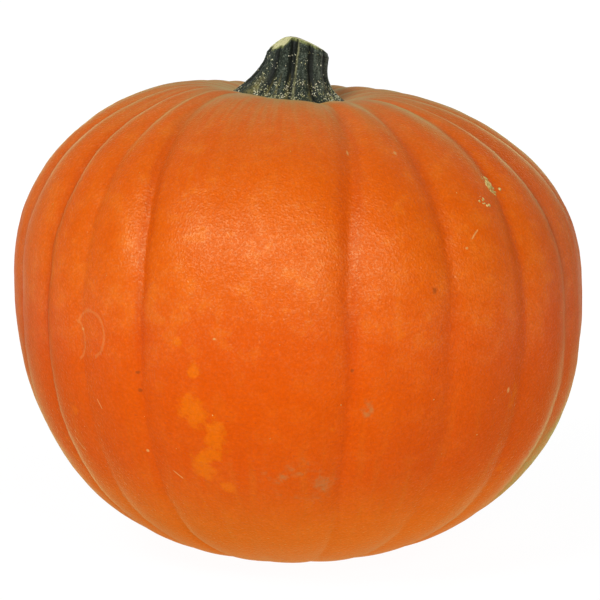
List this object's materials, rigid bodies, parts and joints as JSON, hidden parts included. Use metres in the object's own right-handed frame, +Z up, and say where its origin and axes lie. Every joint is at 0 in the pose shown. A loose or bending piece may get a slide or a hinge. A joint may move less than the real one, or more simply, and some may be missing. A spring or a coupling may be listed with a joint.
{
  "type": "pumpkin",
  "caption": "Whole ripe carving pumpkin with rounded ribs and a cut, flared stem, standing on the small flat spot at its base.",
  "frame": {"origin": "on the surface it stands on, under the middle of the whole pumpkin's box", "axes": "+Z up through the stem, +X to the right across the widest side, front towards -Y"},
  "size_m": [0.2902, 0.2839, 0.266],
  "materials": {
    "rind": "smooth waxy orange rind, satin, with fine pores",
    "stalk": "dry dark green stalk with corky specks, matte"
  },
  "bodies": {
    "root": {"fruit": "rind", "stem": "stalk"}
  },
  "joints": []
}
